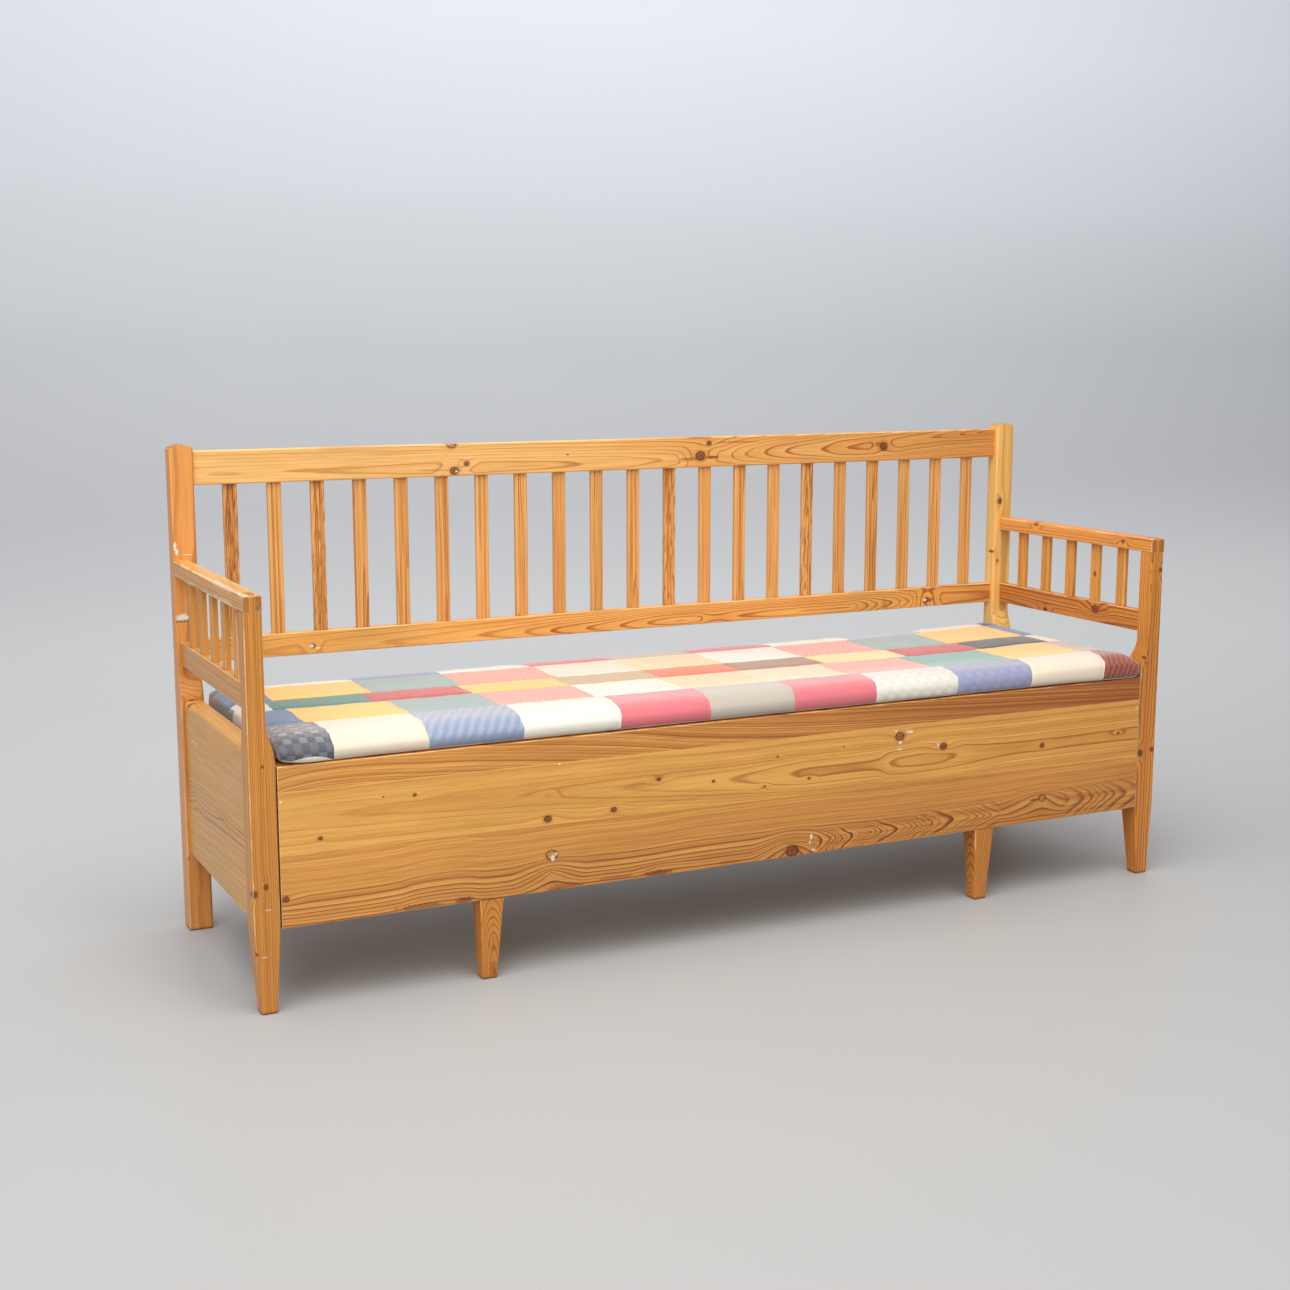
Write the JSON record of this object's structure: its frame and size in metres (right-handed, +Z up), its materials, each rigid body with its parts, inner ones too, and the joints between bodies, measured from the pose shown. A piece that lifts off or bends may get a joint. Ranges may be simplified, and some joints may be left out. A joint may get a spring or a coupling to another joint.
{
  "type": "pull out bench bed",
  "caption": "Pine bench with a spindle back and open arms over a box seat, whose front slides forward on interleaved slats to make a bed, with a hinged lid and a patchwork cushion.",
  "frame": {"origin": "middle of the footprint, on the floor", "axes": "+X along the seat to the sitter's left, -Y to the front, +Z up"},
  "size_m": [1.88, 0.536, 0.9079],
  "materials": {
    "pine_frame": "honey-coloured satin varnish, worn on the edges",
    "pine_panel": "honey-coloured satin varnish, knotty",
    "pine_slats": "honey-coloured satin varnish, reeded",
    "pine_inside": "bare aged pine",
    "brass_hinges": "dull",
    "steel_screws": "dull",
    "patchwork_cloth": "matt cotton patchwork"
  },
  "bodies": {
    "frame": {"back_slats": "pine_slats", "crest_rail": "pine_frame", "fixed_bed_slats": "pine_inside", "fixed_hinge_leaves": "brass_hinges", "fixed_leaf_screws": "steel_screws", "front_stretcher": "pine_inside", "hinge_pins": "brass_hinges", "left_arm_rail": "pine_frame", "left_arm_slats": "pine_slats", "left_back_post": "pine_frame", "left_end_board": "pine_frame", "left_front_post": "pine_frame", "left_lid_ledger": "pine_inside", "left_lower_arm_rail": "pine_frame", "left_runner": "pine_inside", "lower_back_rail": "pine_frame", "rear_board": "pine_inside", "rear_lid_ledger": "pine_inside", "rear_slat_ledger": "pine_inside", "right_arm_rail": "pine_frame", "right_arm_slats": "pine_slats", "right_back_post": "pine_frame", "right_end_board": "pine_frame", "right_front_post": "pine_frame", "right_lid_ledger": "pine_inside", "right_lower_arm_rail": "pine_frame", "right_runner": "pine_inside"},
    "pull_out": {"panel_top_board": "pine_panel", "panel_middle_board": "pine_panel", "panel_bottom_board": "pine_panel", "left_middle_leg": "pine_frame", "right_middle_leg": "pine_frame", "panel_ledger": "pine_inside", "sliding_bed_slats": "pine_inside", "tie_batten": "pine_inside", "left_cheek": "pine_inside", "right_cheek": "pine_inside", "panel_cleats": "pine_inside", "leg_screws": "steel_screws", "panel_cleat_screws": "steel_screws"},
    "seat_lid": {"lid_front_board": "pine_inside", "lid_rear_board": "pine_inside", "lid_cleats": "pine_inside", "lid_hinge_leaves": "brass_hinges", "lid_leaf_screws": "steel_screws", "lid_cleat_screws": "steel_screws"},
    "cushion": {"seat_cushion": "patchwork_cloth"}
  },
  "joints": [
    {"name": "front_slide", "type": "slide", "parent": "frame", "child": "pull_out", "axis": [0, -1, 0], "range_m": [0, 0.4]},
    {"name": "lid_hinge", "type": "hinge", "parent": "frame", "child": "seat_lid", "pos_m": [0, 0.234, 0.3968], "axis": [-1, 0, 0], "range_deg": [0, 55]},
    {"name": "cushion_slide", "type": "slide", "parent": "seat_lid", "child": "cushion", "axis": [0, -1, 0], "range_m": [0, 0.35]}
  ]
}
